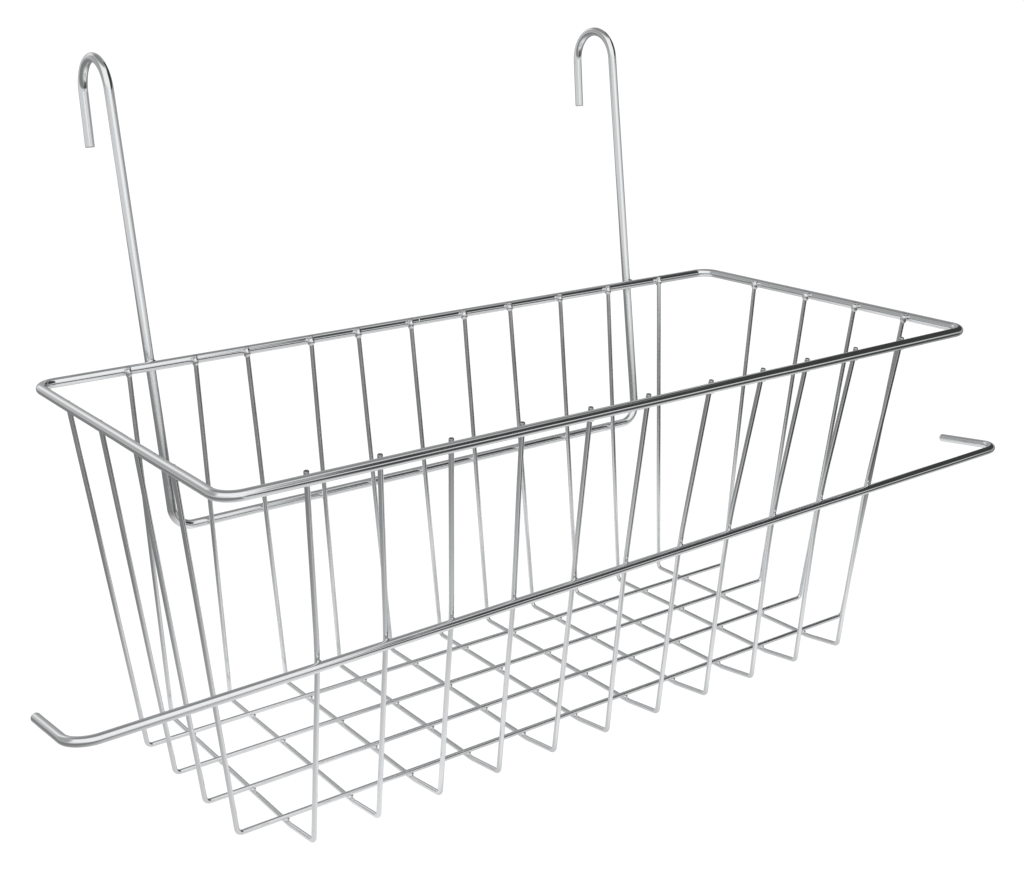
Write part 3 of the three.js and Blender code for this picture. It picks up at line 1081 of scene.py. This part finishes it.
def make_floor():
    half = FLOOR_SIZE / 2
    corners = [(-half, -half, 0), (half, -half, 0), (half, half, 0), (-half, half, 0)]
    sheet = bpy.data.meshes.new("paper_floor")
    sheet.from_pydata(corners, [], [(0, 1, 2, 3)])
    sheet.materials.append(floor_material())
    floor = bpy.data.objects.new("paper_floor", sheet)
    bpy.context.scene.collection.objects.link(floor)


make_floor()
print("floor in metres:", FLOOR_SIZE)

# %% [markdown]
# ## The studio
# The room around the basket is bright, and the camera sees it as white as the paper. The rim and the bar
# mirror a dark wall on the right, whose ends draw together upwards, and three softer grey patches: behind
# the basket, on its left and overhead. The one overhead draws the grey line along the top of the rim and
# the bar on the left. Along the horizon, which the legs and hooks mirror, the light is a little dimmer,
# with a grey patch on the right for their dark right edge and a bright one in front for the light line
# beside it. Lamps and boards would light the chrome too, but a room drawn in the world's own light is quick,
# and every patch is one line.

# %% Dark wall
# Turns and rises are in degrees. A height is the upward part of a direction.
DARK_WALL = (45, 159)
DARK_WALL_LEAN = 15
DARK_WALL_FOOT = 9
DARK_WALL_FOOT_EDGE = (-0.05, 0.05)
DARK_WALL_TOP = 58
DARK_WALL_TOP_EDGE = (-0.12, 0.04)
DARK_WALL_SOFTNESS = 0.035


def dark_wall(tree, way, height):
    """One on the dark wall and zero elsewhere."""
    foot, top = (math.sin(math.radians(rise)) for rise in (DARK_WALL_FOOT, DARK_WALL_TOP))
    above_foot = map_range(tree, height, *(foot + blur for blur in DARK_WALL_FOOT_EDGE), 0.0, 1.0)
    below_top = map_range(tree, height, *(top + blur for blur in DARK_WALL_TOP_EDGE), 1.0, 0.0)
    between_ends = between_turns(tree, way, DARK_WALL, DARK_WALL_SOFTNESS, DARK_WALL_LEAN)
    return math_node(tree, "MULTIPLY", between_ends, math_node(tree, "MULTIPLY", above_foot, below_top))


print("dark wall between turns", *DARK_WALL, "and rises", DARK_WALL_FOOT, DARK_WALL_TOP)

# %% Light of the room
# A lobe has its own light up to the inner angle from its middle, and fades out up to the outer one.
Lobe = namedtuple("Lobe", "turn rise inner outer light")
ROOM_LIGHT = 1.05
HORIZON_LIGHT = 0.76
HORIZON_HEIGHTS = (0.1, 0.36)
DARK_WALL_LIGHT = 0.05
LOBES = (
    Lobe(35, 0, 20, 50, 0.4),  # behind the basket
    Lobe(308, 18, 22, 42, 0.42),  # on its left
    Lobe(20, 67, 25, 43, 0.28),  # overhead
    Lobe(100, 0, 14, 38, 0.35),  # low on the right
    Lobe(188, 4, 10, 36, 1.05),  # low in front
)


def room_light(tree):
    way = add_node(tree, "ShaderNodeTexCoord").outputs["Generated"]
    height = add_node(tree, "ShaderNodeSeparateXYZ", {0: way}).outputs[2]
    light = map_range(tree, height, *HORIZON_HEIGHTS, HORIZON_LIGHT, ROOM_LIGHT)
    for lobe in LOBES:
        near = vector_node(tree, "DOT_PRODUCT", way, direction(lobe.turn, lobe.rise))
        edges = math.cos(math.radians(lobe.outer)), math.cos(math.radians(lobe.inner))
        light = mix_value(tree, map_range(tree, near, *edges, 0.0, 1.0), light, lobe.light)
    return mix_value(tree, dark_wall(tree, way, height), light, DARK_WALL_LIGHT)


print("room patches:", len(LOBES))

# %% Studio


def make_studio():
    world = bpy.data.worlds.new("white_studio")
    world.use_nodes = True
    tree = world.node_tree
    seen = add_node(tree, "ShaderNodeLightPath").outputs["Is Camera Ray"]
    strength = mix_value(tree, seen, room_light(tree), PAPER_LIGHT)
    tree.links.new(strength, tree.nodes["Background"].inputs["Strength"])
    tree.nodes["Background"].inputs["Color"].default_value = (1.0, 1.0, 1.0, 1.0)
    bpy.context.scene.world = world


make_studio()
bpy.context.scene.view_settings.view_transform = "Standard"
print("world:", bpy.context.scene.world.name)
